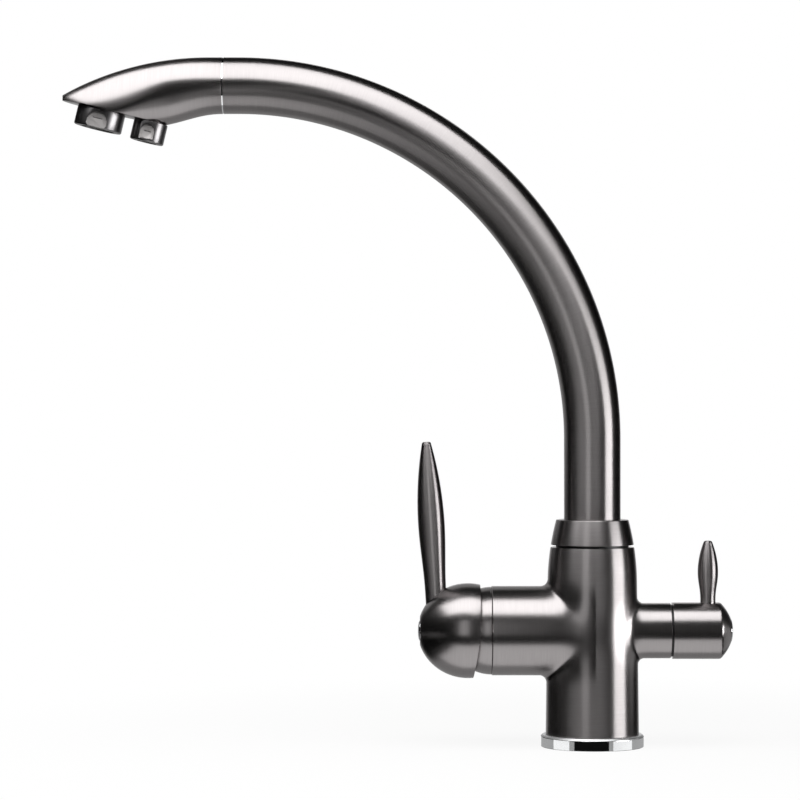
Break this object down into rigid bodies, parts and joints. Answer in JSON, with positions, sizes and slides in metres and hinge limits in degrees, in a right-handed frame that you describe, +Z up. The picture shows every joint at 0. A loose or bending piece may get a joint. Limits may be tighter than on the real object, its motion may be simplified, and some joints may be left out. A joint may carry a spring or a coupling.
{
  "type": "three-way kitchen mixer tap with filtered water",
  "caption": "Deck-mounted kitchen tap with a side mixer lever, a small filtered-water lever opposite and a swivelling swan-neck spout that ends in separate mixed and filtered outlets.",
  "frame": {"origin": "on the worktop, at the middle of the base, on the swivel axis of the spout", "axes": "+Z up along the column, -X towards the mixer lever and the spout's outlets at rest, +X towards the filter lever, -Y towards the viewer"},
  "size_m": [0.3322, 0.051, 0.3413],
  "materials": {
    "satin_nickel": "brushed",
    "polished_chrome": "polished",
    "dark_chrome": "polished",
    "dark_steel": "satin",
    "brass": "machined",
    "ceramic": "lapped",
    "black_rubber": "matte",
    "black_plastic": "matte",
    "white_plastic": "matte"
  },
  "bodies": {
    "tap_body": {"base_ring": "polished_chrome", "base_gasket": "black_rubber", "base_manifold": "brass", "valve_body": "satin_nickel", "spout_slip_ring": "black_plastic", "spout_retaining_screw": "dark_steel", "filter_nipple": "brass", "cartridge_base": "white_plastic", "cartridge_seals": "black_rubber", "cartridge_shell": "white_plastic", "fixed_disc": "ceramic", "cartridge_nut": "brass", "mixer_cover": "satin_nickel", "filter_headwork": "brass", "filter_seal": "black_rubber", "filter_fixed_disc": "ceramic", "filter_slip_ring": "black_plastic"},
    "spout": {"spout_tail": "brass", "spout_seals": "black_rubber", "spout_collar": "satin_nickel", "spout_tube": "satin_nickel", "filter_hose": "white_plastic", "head_ring": "polished_chrome", "spout_head": "satin_nickel", "head_nipple": "brass", "mixed_aerator": "dark_chrome", "mixed_aerator_insert": "white_plastic", "mixed_aerator_washer": "black_rubber", "filter_aerator": "dark_chrome", "filter_aerator_insert": "white_plastic", "filter_aerator_washer": "black_rubber"},
    "turret": {"cartridge_turret": "white_plastic", "pivot_pin": "dark_steel"},
    "mixing_disc": {"moving_disc": "ceramic", "disc_driver": "white_plastic"},
    "mixer_control": {"lever_spindle": "brass", "mixer_handle": "satin_nickel", "mixer_handle_screw": "dark_steel", "mixer_index_button": "polished_chrome", "mixer_lever": "satin_nickel"},
    "filter_control": {"filter_moving_disc": "ceramic", "filter_spindle": "brass", "filter_spindle_seal": "black_rubber", "filter_circlip": "dark_steel", "filter_handle": "satin_nickel", "filter_handle_screw": "dark_steel", "filter_index_button": "polished_chrome", "filter_lever": "satin_nickel"}
  },
  "joints": [
    {"name": "spout_swivel", "type": "hinge", "parent": "tap_body", "child": "spout", "pos_m": [0, 0, 0.1], "axis": [0, 0, 1], "range_deg": [-180, 180]},
    {"name": "mixer_temperature", "type": "hinge", "parent": "tap_body", "child": "turret", "pos_m": [-0.05, 0, 0.0572], "axis": [1, 0, 0], "range_deg": [-45, 45]},
    {"name": "mixer_flow", "type": "hinge", "parent": "turret", "child": "mixer_control", "pos_m": [-0.05, 0, 0.0572], "axis": [0, -1, 0], "range_deg": [0, 22]},
    {"name": "disc_travel", "type": "slide", "parent": "turret", "child": "mixing_disc", "axis": [0, 0, 1], "range_m": [0, 0.0047]},
    {"name": "filter_valve", "type": "hinge", "parent": "tap_body", "child": "filter_control", "pos_m": [0.05, 0, 0.0572], "axis": [1, 0, 0], "range_deg": [0, 90]}
  ],
  "couplings": [
    {"joint": "disc_travel", "follows": "mixer_flow", "m_per_rad": 0.012195}
  ]
}
